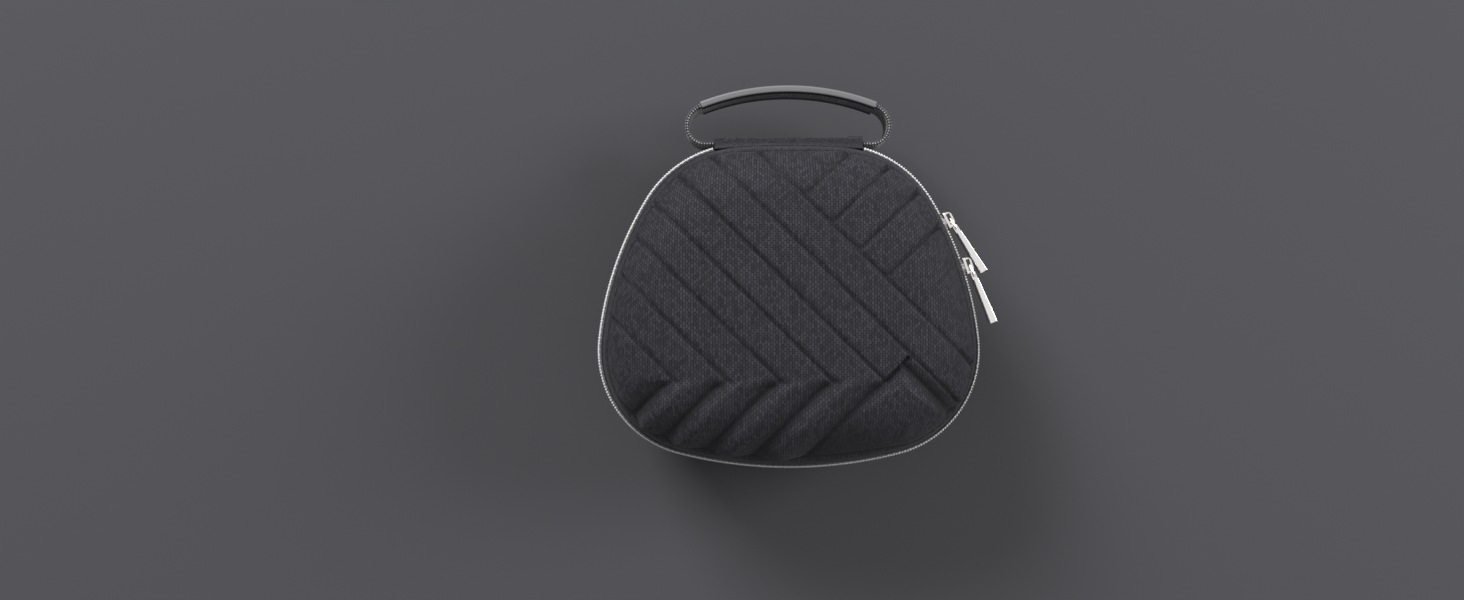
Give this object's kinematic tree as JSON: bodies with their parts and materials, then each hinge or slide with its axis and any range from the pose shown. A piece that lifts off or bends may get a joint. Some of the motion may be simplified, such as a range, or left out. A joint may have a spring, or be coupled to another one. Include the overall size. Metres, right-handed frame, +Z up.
{
  "type": "controller carrying case",
  "caption": "Hard zip case for a game controller: two moulded fabric shells hinged at the back, shaped cradle and lid pad, chevron relief, webbing handle with arched grip.",
  "frame": {"origin": "centre of the flat that the base shell rests on", "axes": "+Z up through the case's thickness, +Y towards the hinge and handle, +X towards the side where the sliders rest"},
  "size_m": [0.1934, 0.1857, 0.087],
  "materials": {
    "shell_fabric": "woven charcoal fabric over moulded foam",
    "tape_fabric": "herringbone zipper tape",
    "coil_nylon": "white nylon coil",
    "lining_foam": "brushed lining on foam",
    "binding": "woven binding tape",
    "hinge_fabric": "fine plain weave",
    "webbing": "woven nylon webbing with a light fleck",
    "grip_rubber": "satin moulded rubber",
    "pull_metal": "bright nickel"
  },
  "bodies": {
    "base": {"base_shell": "shell_fabric", "base_zip_tape": "tape_fabric", "base_zip_coil": "coil_nylon", "base_cradle": "lining_foam", "base_binding": "binding", "hinge_sleeve": "hinge_fabric", "left_end_tab": "hinge_fabric", "right_end_tab": "hinge_fabric", "held_webbing": "webbing"},
    "lid": {"lid_shell": "shell_fabric", "lid_zip_tape": "tape_fabric", "lid_zip_coil": "coil_nylon", "lid_insert": "lining_foam", "lid_binding": "binding", "lid_hinge_leaf": "hinge_fabric"},
    "handle": {"handle_webbing": "webbing", "handle_grip": "grip_rubber"},
    "upper_slider": {"upper_slider": "pull_metal"},
    "upper_pull": {"upper_pull_link": "pull_metal", "upper_pull_tab": "pull_metal"},
    "lower_slider": {"lower_slider": "pull_metal"},
    "lower_pull": {"lower_pull_link": "pull_metal", "lower_pull_tab": "pull_metal"}
  },
  "joints": [
    {"name": "lid_hinge", "type": "hinge", "parent": "base", "child": "lid", "pos_m": [0, 0.08145, 0.046], "axis": [-1, 0, 0], "range_deg": [0, 100]},
    {"name": "handle_swing", "type": "hinge", "parent": "base", "child": "handle", "pos_m": [0, 0.07845, 0.0335], "axis": [-1, 0, 0], "range_deg": [0, 40]},
    {"name": "upper_slider_run", "type": "hinge", "parent": "base", "child": "upper_slider", "pos_m": [-0.0718, -0.034, 0.046], "axis": [0, 0, 1], "range_deg": [0, 3.5]},
    {"name": "upper_pull_swing", "type": "hinge", "parent": "upper_slider", "child": "upper_pull", "pos_m": [0.07827, 0.04174, 0.046], "axis": [0, 0, 1], "range_deg": [0, 160]},
    {"name": "lower_slider_run", "type": "hinge", "parent": "base", "child": "lower_slider", "pos_m": [-0.0718, -0.034, 0.046], "axis": [0, 0, 1], "range_deg": [-11, 0]},
    {"name": "lower_pull_swing", "type": "hinge", "parent": "lower_slider", "child": "lower_pull", "pos_m": [0.08754, 0.01955, 0.046], "axis": [0, 0, 1], "range_deg": [0, 15]}
  ]
}
